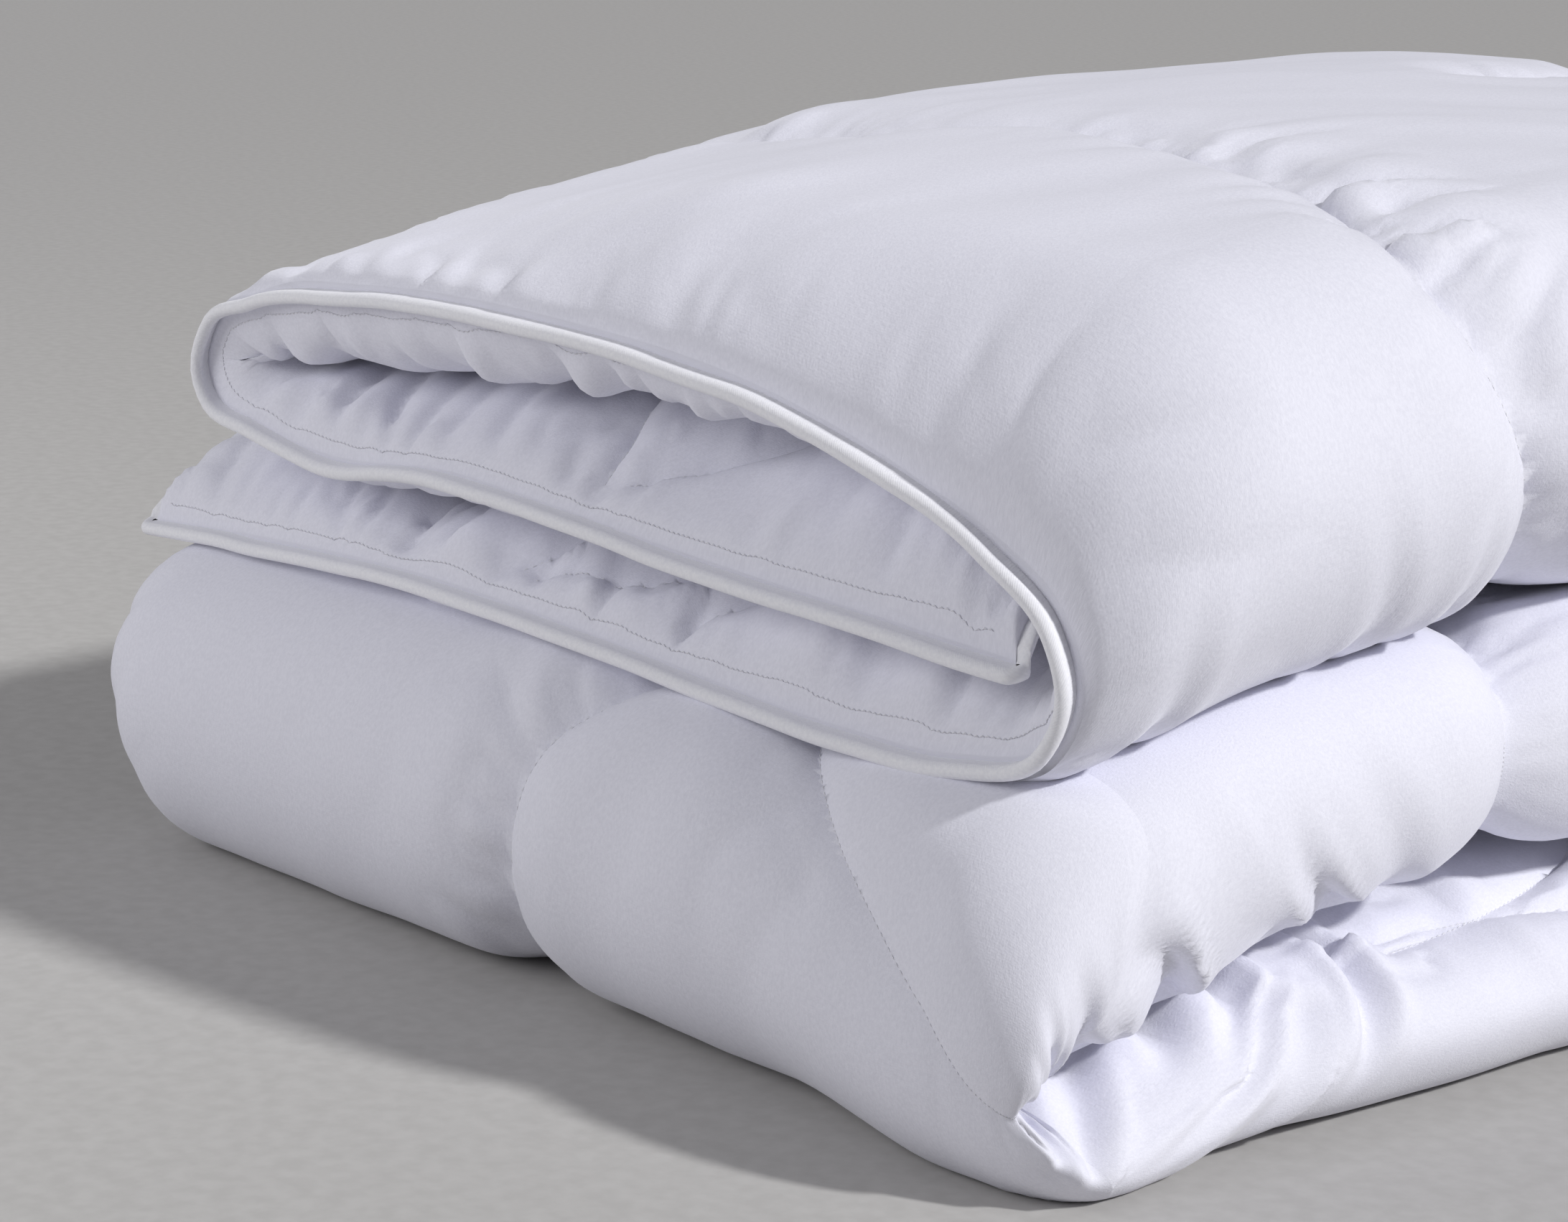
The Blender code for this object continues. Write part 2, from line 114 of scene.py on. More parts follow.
# (part of the strip, share of the way from LEFT_X to RIGHT_X, height as a share of UPPER_THICK)
FRONT_EDGE = (
    (0.00, -0.116, 0.030),
    (0.15, 0.029, 0.062),
    (0.40, 0.281, 0.089),
    (0.66, 0.548, 0.051),
    (0.88, 0.763, 0.013),
    (1.00, 0.878, 0.030),
    (1.30, 0.958, 0.105),
    (1.50, 0.982, 0.245),
    (1.70, 0.967, 0.395),
    (2.00, 0.904, 0.535),
    (2.23, 0.711, 0.739),
    (2.53, 0.459, 0.831),
    (2.81, 0.207, 0.825),
    (3.00, 0.051, 0.755),
    (3.36, -0.010, 0.675),
    (3.55, -0.029, 0.551),
    (3.74, -0.013, 0.444),
    (4.00, 0.044, 0.395),
    (4.34, 0.333, 0.384),
    (4.69, 0.637, 0.320),
    (5.00, 0.930, 0.277),
)

SECTIONS = ("upper", "back_fold", "middle_third", "front_fold", "lower")
THREADED = ("upper", "middle_third", "lower")  # sections whose CAD has quilting threads
BODY_OF = {
    "upper": "upper_third",
    "middle_third": "middle_third",
    "lower": "lower_third",
}

# ---- Quilting seams, flat: clamshell arcs in rows, and short seams that end at an edge ----
ARC_HALF = 0.320
ARC_HEIGHT = 0.310
# (place of the arcs' feet, their middles, 1 if puckered outside the arcs or -1 if inside)
ARC_ROWS = (
    (0.030, (-0.090, 1.800), 1),
    (0.620, (0.225, 0.855, 1.485, 2.115), 1),
    (0.890, (-0.090, 0.540, 1.170, 1.800), 1),
    (1.116, (0.160, 0.790, 1.420, 2.050), -1),
    (2.000, (-0.090, 0.540, 1.170, 1.800), 1),
)
LONG_SEAMS = (
    (
        (0.600, 0.250),
        (0.690, 0.262),
        (0.764, 0.236),
        (0.810, 0.212),
        (0.852, 0.201),
        (0.905, 0.223),
        (0.970, 0.243),
        (1.040, 0.258),
        (1.112, 0.274),
        (1.195, 0.250),
        (1.270, 0.252),
        (1.330, 0.268),
        (1.400, 0.262),
        (1.470, 0.215),
    ),
    (
        (0.520, 1.620),
        (0.564, 1.672),
        (0.604, 1.700),
        (0.648, 1.722),
        (0.688, 1.743),
        (0.722, 1.760),
        (0.758, 1.767),
        (0.795, 1.761),
        (0.838, 1.760),
        (0.878, 1.757),
    ),
)
SHORT_SEAMS = (
    ((1.848, 0.006), (1.838, 0.030), (1.815, 0.060), (1.795, 0.110), (1.770, 0.190)),
    ((1.856, 0.006), (1.880, 0.022), (1.915, 0.042), (1.975, 0.080), (2.050, 0.150)),
    ((0.322, 0.006), (0.345, 0.026), (0.380, 0.060), (0.430, 0.130)),
    ((0.326, 0.008), (0.365, 0.014), (0.420, 0.024), (0.480, 0.060), (0.520, 0.120)),
    ((0.457, 0.006), (0.480, 0.020), (0.540, 0.050), (0.600, 0.120)),
    (
        (0.455, 1.640),
        (0.432, 1.672),
        (0.404, 1.706),
        (0.392, 1.744),
        (0.380, 1.788),
        (0.384, 1.830),
        (0.400, 1.880),
    ),
)
SEAM_SAMPLE = 0.002

# ---- Long soft folds on the outer face: flat points, depth and half width ----
DEEP_FOLDS = (
    (((0.890, 1.757), (0.838, 1.760), (0.795, 1.761), (0.758, 1.767), (0.722, 1.760)), 0.0060, 0.008),
    (((0.890, 1.962), (0.872, 1.964), (0.828, 1.960), (0.796, 1.948), (0.745, 1.930)), 0.0120, 0.0065),
    (((0.888, 1.906), (0.868, 1.904), (0.852, 1.904), (0.832, 1.896), (0.800, 1.884)), 0.0115, 0.0055),
    (((0.885, 1.876), (0.864, 1.878), (0.848, 1.876), (0.816, 1.866)), 0.0095, 0.0055),
    (((0.836, 1.908), (0.808, 1.894), (0.784, 1.866), (0.764, 1.836)), 0.0050, 0.007),
    (((0.820, 1.918), (0.776, 1.900), (0.745, 1.880), (0.700, 1.868)), 0.0040, 0.009),
    (((0.866, 1.850), (0.826, 1.836), (0.790, 1.820), (0.740, 1.808)), 0.0065, 0.006),
    (((0.840, 1.800), (0.800, 1.794), (0.764, 1.795), (0.716, 1.788)), 0.0050, 0.0055),
    (((0.850, 1.596), (0.818, 1.608), (0.798, 1.622), (0.782, 1.642), (0.752, 1.646)), 0.0095, 0.0055),
    (((0.846, 1.626), (0.812, 1.650), (0.786, 1.686), (0.764, 1.700)), 0.0045, 0.0055),
    (((0.850, 1.690), (0.812, 1.706), (0.784, 1.718), (0.752, 1.720)), 0.0045, 0.0055),
    (((0.846, 1.512), (0.808, 1.546), (0.782, 1.566), (0.756, 1.572)), 0.0060, 0.006),
    (((0.846, 1.480), (0.804, 1.500), (0.768, 1.526), (0.732, 1.548)), 0.0024, 0.009),
    (((0.830, 1.560), (0.790, 1.600), (0.752, 1.624), (0.720, 1.632)), 0.0020, 0.009),
    (((0.700, 0.152), (0.728, 0.156), (0.756, 0.142), (0.800, 0.118)), 0.0026, 0.007),
    (((0.692, 0.210), (0.720, 0.212), (0.748, 0.206), (0.790, 0.200)), 0.0034, 0.006),
    (((0.700, 0.038), (0.730, 0.040), (0.760, 0.034), (0.800, 0.030)), 0.0024, 0.007),
    (((0.690, 0.262), (0.716, 0.256), (0.744, 0.244), (0.780, 0.242)), 0.0024, 0.007),
)

# ---- Grid spacing (metres of flat cloth) and the look's driving sizes ----
FINEST = 0.0034
FINE = 0.0057
COARSE = 0.0066
HIDDEN = 0.0088
SNAP_WITHIN = 0.5  # grid points this close to a seam, in grid steps, move onto it
SNAP_FADE = 1.6  # grid steps from a seam beyond which they stay
EDGE_STEPS = (0.0, 0.0018, 0.0042, 0.0075, 0.0115)
SEAM_DEPTH = 0.0135  # how far a seam draws a face in, at most
SEAM_SPAN = (0.040, 0.078)  # where the pad reaches its full loft, inside and outside an arc
SEAM_POWERS = (0.70, 0.85)  # how steeply it rises there, inside and outside
PUFF = 0.0038  # how far the outer face swells between seams where nothing rests on it
FRONT_PUFF = 0.0120  # how far the free faces swell behind the front end's piping
WAVE_DEPTH = 0.0026  # slow waves over both faces
CREASE_DEPTH = 0.0014  # the smaller creases over both faces
PUCKER_DEPTH = 0.0042
PUCKER_SHARES = (0.22, 0.85)  # shares of that depth inside and outside an arc
PUCKER_REACH = 0.012  # distance from the seam where a pucker is deepest
GATHER_DEPTH = 0.0050
OUTER_GATHER = 0.60  # share of that depth on the outer face
PIPING_SWAY = 0.0007  # how far the piping wanders along the cloth
PIPING_LIFT = 0.0011  # how far it wanders off the cloth's middle
PIPING_STEP = 0.006  # distance between its rings
ARC_SAMPLES = 240
TOPSTITCH_INSET = 0.0014
STITCH_LENGTH = 0.0030
STITCH_GAP = 0.0007
STITCH_RADIUS = 0.00035


def smooth(t):
    """0 before t = 0, 1 after t = 1, and an even S-curve between."""
    t = np.clip(t, 0.0, 1.0)
    return t * t * (3.0 - 2.0 * t)


def through(knots, t):
    """A smooth curve through (place, value, ...) knots, with one column for each value."""
    knots = np.asarray(knots, float)
    at, value = knots[:, 0], knots[:, 1:]
    slope = np.gradient(value, at, axis=0)
    t = np.clip(np.asarray(t, float), at[0], at[-1])
    i = np.clip(np.searchsorted(at, t, side="right") - 1, 0, len(at) - 2)
    span = (at[i + 1] - at[i])[..., None]
    s = ((t - at[i]) / (at[i + 1] - at[i]))[..., None]
    return (
        (2 * s**3 - 3 * s**2 + 1) * value[i]
        + (s**3 - 2 * s**2 + s) * span * slope[i]
        + (3 * s**2 - 2 * s**3) * value[i + 1]
        + (s**3 - s**2) * span * slope[i + 1]
    )


def steps(knots, t):
    """Values that change by an S-curve from each (place, value) knot to the next."""
    at, value = np.asarray(knots, float).T
    i = np.clip(np.searchsorted(at, t, side="right") - 1, 0, len(at) - 2)
    return value[i] + (value[i + 1] - value[i]) * smooth((t - at[i]) / (at[i + 1] - at[i]))


def edge_rise(away):
    return np.sqrt(1 - (1 - np.clip(away / EDGE_RISE, 0, 1)) ** 2)


def face_height(face, y):
    front, back = face
    return back - (back - front) * np.exp(-(y - FRONT_Y) / DIP_SPAN)


def strip_thickness(v):
    middle_y = np.clip(BACK_FOLD_Y - (v - V_ENDS[2]), FRONT_FOLD_Y, BACK_FOLD_Y)
    lower_y = np.maximum(FRONT_FOLD_Y + (v - V_ENDS[4]), FRONT_FOLD_Y)
    lower = face_height(LOWER_TOP, lower_y) - REST_GAP
    middle = face_height(UPPER_BASE, middle_y) - face_height(LOWER_TOP, middle_y)
    middle = middle - 1.5 * REST_GAP
    pressed = smooth((v - V_ENDS[1]) / BACK_FOLD_RUN)
    under = smooth((v - V_ENDS[3]) / FRONT_FOLD_RUN)
    thick = UPPER_THICK + (middle - UPPER_THICK) * pressed
    return thick + (lower - thick) * under


def front_edge(u):
    part, across, up = np.array(FRONT_EDGE).T
    base = face_height(UPPER_BASE, FRONT_Y) + REST_GAP / 2
    at = np.interp(part, np.arange(len(U_ENDS)), U_ENDS)
    x, z = LEFT_X + (RIGHT_X - LEFT_X) * across, base + UPPER_THICK * up
    return through(np.stack([at, x, z], axis=1), u)


def section(u, v):
    """(x, height in the strip) of the middle of the cloth's thickness."""
    thick = strip_thickness(v)
    pressed = smooth((v - V_ENDS[1]) / BACK_FOLD_RUN)
    reach = RIGHT_REACH_UPPER + (RIGHT_REACH_LOWER - RIGHT_REACH_UPPER) * pressed
    right, left = RIGHT_X - reach, LEFT_X + LEFT_REACH
    part = [np.clip((u - U_ENDS[i]) / (U_ENDS[i + 1] - U_ENDS[i]), 0, 1) for i in range(5)]

    turn = np.pi / 2 * (1 - np.clip(u / CURL_RUN, 0, 1))
    curl_x = LEFT_TIP_X + CURL_SPAN * (1 - np.sin(turn))
    flat = np.clip((u - CURL_RUN) / (U_ENDS[1] - CURL_RUN), 0, 1)
    curl_x = curl_x + (right - LEFT_TIP_X - CURL_SPAN) * flat
    bottom_x = LEFT_TIP_X + (right - LEFT_TIP_X) * part[0]
    bottom_x = bottom_x + (curl_x - bottom_x) * pressed
    bottom_h = BOTTOM_AT + (CURL_AT - BOTTOM_AT) * (1 - np.cos(turn)) * pressed

    turn = np.pi * part[1]
    right_x = right + reach * np.sin(turn)
    right_h = (BOTTOM_AT + TOP_AT) / 2 - (TOP_AT - BOTTOM_AT) / 2 * np.cos(turn)

    top_x = right + (left - right) * part[2]
    crown = UPPER_CROWN * np.sin(np.pi * part[2]) * (1 - pressed) / thick

    turn = np.pi * part[3]
    left_x = left - LEFT_REACH * np.sin(turn)
    left_h = (TOP_AT + MIDDLE_AT) / 2 + (TOP_AT - MIDDLE_AT) / 2 * np.cos(turn)

    middle_x = left + (MIDDLE_END_X - left) * part[4]
    where = [u <= U_ENDS[1], u <= U_ENDS[2], u <= U_ENDS[3], u <= U_ENDS[4]]
    x = np.select(where, [bottom_x, right_x, top_x, left_x], middle_x)
    height = np.select(where, [bottom_h, right_h, TOP_AT + crown, left_h], MIDDLE_AT) * thick

    front = front_edge(u)
    base = face_height(UPPER_BASE, FRONT_Y + np.clip(v, 0, EDGE_RISE)) + REST_GAP / 2
    share = 1 - edge_rise(v)
    return x + (front[..., 0] - x) * share, height + (front[..., 1] - base - height) * share


def half_loft(u, v):
    """Half the thickness of the wadding at (u, v), where no seam draws it in."""
    share = steps(
        (
            (0.0, BOTTOM_HALF),
            (U_ENDS[1] - 0.05, BOTTOM_HALF),
            ((U_ENDS[1] + U_ENDS[2]) / 2, RIGHT_HALF),
            (U_ENDS[2] + 0.10, TOP_HALF),
            (U_ENDS[3] - 0.08, TOP_HALF),
            (U_ENDS[3] + 0.01, LEFT_HALF),
            (U_ENDS[4] + 0.01, LEFT_HALF),
            (WIDTH, MIDDLE_HALF),
        ),
        u,
    )
    full = share * strip_thickness(v) - FABRIC
    edge = np.minimum(np.minimum(u, WIDTH - u), np.minimum(v, LENGTH - v))
    return EDGE_HALF + np.maximum(full - EDGE_HALF, 0) * edge_rise(edge)


def lay(v, height):
    """(y, z) of a point at this height in the strip, with the thirds folded on each other."""
    upper_y = FRONT_Y + v
    upper_z = face_height(UPPER_BASE, upper_y) + REST_GAP / 2 + height

    turn = np.pi * np.clip((v - V_ENDS[1]) / BACK_FOLD_RUN, 0, 1)
    radius = REST_GAP / 2 + height
    heart = face_height(UPPER_BASE, BACK_FOLD_Y)
    back_y = BACK_FOLD_Y + BACK_FOLD_REACH * radius * np.sin(turn)
    back_z = heart + radius * np.cos(turn)

    middle_y = BACK_FOLD_Y - (v - V_ENDS[2])
    middle_z = face_height(UPPER_BASE, middle_y) - REST_GAP / 2 - height

    turn = np.pi * np.clip((v - V_ENDS[3]) / FRONT_FOLD_RUN, 0, 1)
    radius = strip_thickness(v) - height + REST_GAP
    core = face_height(LOWER_TOP, FRONT_FOLD_Y)
    front_y = FRONT_FOLD_Y - FRONT_FOLD_REACH * radius * np.sin(turn)
    front_z = core + radius * np.cos(turn)

    lower_y = FRONT_FOLD_Y + (v - V_ENDS[4])
    where = [v <= V_ENDS[1], v <= V_ENDS[2], v <= V_ENDS[3], v <= V_ENDS[4]]
    y = np.select(where, [upper_y, back_y, middle_y, front_y], lower_y)
    z = np.select(where, [upper_z, back_z, middle_z, front_z], height)
    return y, z


def settle(x, y, z):
    """Lowers the crease at the right between the two lower thirds, and the front left shoulder."""
    side = smooth((x - CREASE_SIDE[0]) / CREASE_SIDE[1])
    behind = np.maximum(y, FRONT_FOLD_Y)
    low, high = face_height(LOWER_TOP, behind), face_height(UPPER_BASE, behind)
    share = np.clip(np.minimum(z / low, (high - z) / (high - low)), 0, 1)
    ahead = smooth((y - FRONT_FOLD_Y) / CREASE_FADE + 1)
    z = z - CREASE_DROP * side * ahead * smooth(share)
    way = np.array(CREASE_SHIFT) / np.hypot(*CREASE_SHIFT)
    off_y, off_z = y - FRONT_FOLD_Y, z - (face_height(LOWER_TOP, FRONT_FOLD_Y) - CREASE_DROP)
    along, across = off_y * way[0] + off_z * way[1], off_y * way[1] - off_z * way[0]
    reach = np.where(along > 0, *CREASE_REACH)
    ratio = np.hypot(np.hypot(along / reach, across / CREASE_ASIDE), CREASE_ROUND) - CREASE_ROUND
    left = np.clip(1 - ratio, 0, 1)
    moved = side * (1 + CREASE_ROUND) * left**2 / (left + CREASE_ROUND)
    y, z = y + CREASE_SHIFT[0] * moved, z + CREASE_SHIFT[1] * moved
    sunk = smooth((SHOULDER_SIDE[0] - x) / SHOULDER_SIDE[1])
    sunk = sunk * (1 - (1 - np.clip((y - FRONT_Y) / SHOULDER_START, 0, 1)) ** 2)
    sunk = sunk * (1 - smooth((y - SHOULDER_END[0]) / SHOULDER_END[1]))
    height = np.clip((z - face_height(UPPER_BASE, behind)) / UPPER_THICK, 0, 1)
    return x, y, z - SHOULDER_DROP * sunk * height


def fold(u, v, w):
    """Place in the folded stack of the cloth's point (u, v, w)."""
    u, v, w = np.broadcast_arrays(*(np.asarray(a, float) for a in (u, v, w)))
    step = 1e-4
    inside = np.clip(u, step, WIDTH - step)
    x0, h0 = section(inside - step, np.clip(v, 0, LENGTH))
    x1, h1 = section(inside + step, np.clip(v, 0, LENGTH))
    run = np.hypot(x1 - x0, h1 - h0)
    along_x, along_h = (x1 - x0) / run, (h1 - h0) / run
    x, height = section(np.clip(u, 0, WIDTH), np.clip(v, 0, LENGTH))
    past = u - np.clip(u, 0, WIDTH)
    x = x + past * along_x + w * along_h
    height = height + past * along_h - w * along_x
    y, z = lay(v, height)
    x, y, z = settle(x, y, z)
    pressed_flat = np.maximum(half_loft(u, v) + CLEARANCE + FABRIC - w, 0)
    return np.stack([x, y, np.maximum(z, pressed_flat)], axis=-1)


# ---- Noise and distances on the flat cloth ----


def noise(x, y, seed):
    """Smooth values between -1 and 1 that change over one unit of x and y."""
    table = np.random.default_rng(seed).uniform(-1, 1, (256, 256))
    i, j = np.floor(x).astype(int), np.floor(y).astype(int)
    s, t = x - i, y - j
    s, t = s**3 * (s * (6 * s - 15) + 10), t**3 * (t * (6 * t - 15) + 10)
    near = table[i % 256, j % 256] * (1 - s) + table[(i + 1) % 256, j % 256] * s
    far = table[i % 256, (j + 1) % 256] * (1 - s) + table[(i + 1) % 256, (j + 1) % 256] * s
    return near * (1 - t) + far * t


def arc_line(base, centre, way):
    """One clamshell arc from foot to foot, as far as it lies on the cloth."""
    turn = np.linspace(math.pi, 0, ARC_SAMPLES)[::way]
    line = np.stack([centre + ARC_HALF * np.cos(turn), base + ARC_HEIGHT * np.sin(turn)], 1)
    return line[(line[:, 0] > SEAM_INSET) & (line[:, 0] < WIDTH - SEAM_INSET)]


def even(line, step):
    """The line again with points a step apart, rounded through its corners."""
    line = np.asarray(line, float)
    run = np.concatenate([[0], np.cumsum(np.linalg.norm(np.diff(line, axis=0), axis=1))])
    at = np.linspace(0, run[-1], max(2, round(run[-1] / step)))
    return through(np.column_stack([run, line]), at)


class Lines:
    """Lines on the flat cloth, with each point's distance and place along the nearest one."""

    def __init__(self, lines):
        self.points, self.along, self.way, self.number, self.length = [], [], [], [], []
        for k, line in enumerate(lines):
            step = np.linalg.norm(np.diff(line, axis=0), axis=1)
            run = np.concatenate([[0], np.cumsum(step)])
            way = np.gradient(line, axis=0)
            self.points.append(line)
            self.along.append(run)
            self.way.append(way / np.linalg.norm(way, axis=1)[:, None])
            self.number.append(np.full(len(line), k))
            self.length.append(np.full(len(line), run[-1]))
        for name in ("points", "along", "way", "number", "length"):
            setattr(self, name, np.concatenate(getattr(self, name)))
        self.tree = KDTree(len(self.points))
        for i, (a, b) in enumerate(self.points):
            self.tree.insert((a, b, 0.0), i)
        self.tree.balance()

    def near(self, u, v):
        """(distance, side, place along, number, length) of the nearest line for each point."""
        flat = np.stack([u.ravel(), v.ravel()], axis=1)
        index = np.array([self.tree.find((a, b, 0.0))[1] for a, b in flat])
        off = flat - self.points[index]
        way = self.way[index]
        on = np.clip((off * way).sum(1), -SEAM_SAMPLE, SEAM_SAMPLE)
        across = off[:, 1] * way[:, 0] - off[:, 0] * way[:, 1]
        distance = np.linalg.norm(off - on[:, None] * way, axis=1)
        found = (distance, np.sign(across), self.along[index] + on, self.number[index])
        return [a.reshape(u.shape) for a in (*found, self.length[index])]


seam_lines = [arc_line(base, c, way) for base, centres, way in ARC_ROWS for c in centres]
seam_lines = [line for line in seam_lines if len(line) > 3] + [*LONG_SEAMS, *SHORT_SEAMS]
seam_lines = [even(line, SEAM_SAMPLE) for line in seam_lines]
FIRST_SHORT = len(seam_lines) - len(SHORT_SEAMS)
seams = Lines(seam_lines)
folds = Lines([even(line, SEAM_SAMPLE) for line, _, _ in DEEP_FOLDS])
FOLD_DEPTH = np.array([depth for _, depth, _ in DEEP_FOLDS])
FOLD_WIDTH = np.array([width for _, _, width in DEEP_FOLDS])


# ---- The shape of a face of the cloth ----


def creased(value):
    """Noise turned into rounded ridges with sharp grooves between them."""
    return 2.2 * np.abs(value) - 0.7


def swell(away, peak):
    """Rises from 0 to 1 at peak and dies away past it."""
    return away / peak * np.exp(1 - away / peak)


def gathers(u, v, side):
    """Fabric drawn up along the four edges, more so on the inner face."""
    total = 0.0
    edges = ((v, u, 1), (LENGTH - v, u, 2), (u, v, 3), (WIDTH - u, v, 4))
    for away, along, seed in edges:
        away = np.maximum(away, 0)
        along = along + 0.010 * noise(along / 0.075, away / 0.045, seed * 5 + side)
        strong = 0.75 + 0.6 * noise(along / 0.160, away / 0.30, seed * 7 + side)
        fine = creased(noise(along / 0.017, away / 0.040, seed * 10 + side))
        wide = creased(noise(along / 0.038 + 0.4 * away / 0.03, away / 0.120, seed * 20 + side))
        drawn = 0.75 * fine * swell(away, 0.009) + wide * swell(away, 0.022)
        total = total + strong * drawn
    return total * GATHER_DEPTH * (OUTER_GATHER if side > 0 else 1.0)


def puckers(distance, inside, along, number, side):
    """Short folds that run away from a seam, deeper on the outside of its arc."""
    along = along + 0.006 * noise(along / 0.05, distance / 0.03 + 3.7 * number, 41 + side)
    strong = 0.70 + 0.7 * noise(along / 0.13, distance / 0.30 + 7.7 * number, 45 + side)
    fine = creased(noise(along / 0.0155, distance / 0.030 + 9.1 * number, 51 + side))
    wide = creased(noise(along / 0.034, distance / 0.080 + 5.3 * number, 61 + side))
    drawn = fine * swell(distance, PUCKER_REACH) + wide * swell(distance, 2 * PUCKER_REACH)
    return PUCKER_DEPTH * strong * drawn * np.where(inside, *PUCKER_SHARES)


def deep_folds(u, v):
    distance, _, along, number, length = folds.near(u, v)
    number = number.astype(int)
    q = distance / FOLD_WIDTH[number]
    dent = -np.exp(-(q**2)) + 0.45 * np.exp(-(((q - 2.1) / 0.9) ** 2))
    return FOLD_DEPTH[number] * dent * smooth((length - along) / (0.7 * length))


def bulge(u, v, side, distance):
    """Extra loft where the face is free: between the seams outside, and behind the front piping."""
    if side > 0:
        front = smooth((v - V_ENDS[3] + 0.08) / 0.05) * smooth((V_ENDS[4] + 0.02 - v) / 0.05)
        bend = smooth((u - U_ENDS[1] + 0.08) / 0.12) * smooth((U_ENDS[2] + 0.08 - u) / 0.12)
        top = 0.4 * smooth((u - U_ENDS[2]) / 0.10) * (v < V_ENDS[2])
        free = np.maximum(np.maximum(front, bend), top) * smooth((U_ENDS[3] - u) / 0.05)
        puffed = PUFF * free * smooth(distance / 0.050)
        under = smooth(u / 0.10) * smooth((0.62 - u) / 0.10) + smooth((u - U_ENDS[4]) / 0.08)
    else:
        puffed = 0.0
        under = smooth((u - U_ENDS[2]) / 0.10) * smooth((U_ENDS[4] - u) / 0.06)
    return puffed + FRONT_PUFF * under * swell(np.maximum(v, 0), 0.030)


def face(u, v, side):
    """Distance from the middle of the cloth to its outer (side 1) or inner (side -1) face."""
    distance, across, along, number, length = seams.near(u, v)
    inside = across < 0
    fade = np.where(number >= FIRST_SHORT, smooth((length - along) / 0.06), 1.0)
    span, power = (np.where(inside, *pair) for pair in (SEAM_SPAN, SEAM_POWERS))
    left = np.clip(distance / span, 0, 1)
    drawn_in = 1 - (1 - (1 - left) ** 2) ** power
    loft = half_loft(u, v)
    rolled = smooth((v - V_ENDS[1]) / 0.10)
    limit = np.where(side > 0, loft + 0.001, 0.5 * (loft - EDGE_HALF))
    limit = 0.75 * (loft - EDGE_HALF) * (1 - rolled) + limit * rolled
    depth = np.minimum(SEAM_DEPTH, np.maximum(limit, 0))
    if side > 0:
        edge = np.minimum(np.minimum(u, WIDTH - u), np.minimum(v, LENGTH - v))
        loft = EDGE_HALF + (loft - EDGE_HALF) * (0.5 + 0.5 * edge_rise(edge))
    shape = loft - depth * fade * drawn_in + bulge(u, v, side, distance)
    detail = puckers(distance, inside, along, number, side) * fade
    broad = WAVE_DEPTH * noise(u / 0.15, v / 0.10, 71 + side)
    broad = broad + CREASE_DEPTH * noise(u / 0.05 + v / 0.08, v / 0.11 - u / 0.30, 81 + side)
    if side > 0:
        broad = broad + deep_folds(u, v)
    room = np.clip((loft - EDGE_HALF) / 0.010, 0, 1)
    return shape + CLEARANCE + FABRIC + room * (detail + broad) + gathers(u, v, side) * room**0.5


def spans(*stretches):
    """Places over stretches (start, end, spacing), with both ends of each."""
    found = [np.linspace(a, b, max(2, round((b - a) / s) + 1)) for a, b, s in stretches]
    return np.unique(np.concatenate(found).round(6))


def snapped(u, v):
    """Grid points moved onto the seams that pass close by, so that each crease is one clean line."""
    distance = seams.near(u, v)[0]
    inner_edge = np.minimum(np.minimum(u, WIDTH - u), np.minimum(v, LENGTH - v))
    step = 1e-5
    right, up = seams.near(u + step, v)[0], seams.near(u, v + step)[0]
    slope = np.stack([right - distance, up - distance]) / step
    slope = slope / np.maximum(np.linalg.norm(slope, axis=0), 1e-6)
    spacing = np.stack([np.gradient(u, axis=1), np.gradient(v, axis=0)])
    spacing = (np.abs(slope) * spacing).sum(axis=0)
    wanted = (distance - SNAP_WITHIN * spacing) * SNAP_FADE / (SNAP_FADE - SNAP_WITHIN)
    close = (distance < SNAP_FADE * spacing) & (inner_edge > EDGE_STEPS[-1])
    move = np.where(close, np.clip(wanted, 0, distance) - distance, 0) * slope
    return u + move[0], v + move[1]


def surface_normals(points, side):
    run_u, run_v = np.gradient(points, axis=1), np.gradient(points, axis=0)
    normal = np.cross(run_v, run_u) * side
    return normal / np.maximum(np.linalg.norm(normal, axis=2, keepdims=True), 1e-12)


def make_object(name, points, faces, material, flat, normals=None):
    """A shaded mesh object. flat is each point's place on the flat cloth, which its weave follows."""
    mesh = bpy.data.meshes.new(name)
    mesh.from_pydata(points.tolist(), [], faces)
    mesh.shade_smooth()
    attribute = mesh.attributes.new("flat", "FLOAT_VECTOR", "POINT")
    attribute.data.foreach_set("vector", np.asarray(flat, np.float32).ravel())
    mesh.materials.append(material)
    if normals is not None:
        mesh.normals_split_custom_set_from_vertices(normals.tolist())
    obj = bpy.data.objects.new(name, mesh)
    bpy.context.scene.collection.objects.link(obj)
    return obj


def join_to_bodies(obj, section_name, v, material_slot, *nodes):
    """Rides the piece on its third, or fixes it in place where it lies between two thirds; v is not
    used.
    """
    if section_name in BODY_OF:
        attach(obj, BODY_OF[section_name])
    else:
        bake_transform(obj)
    if nodes:
        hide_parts(*nodes)
    return obj


# ---- Materials ----


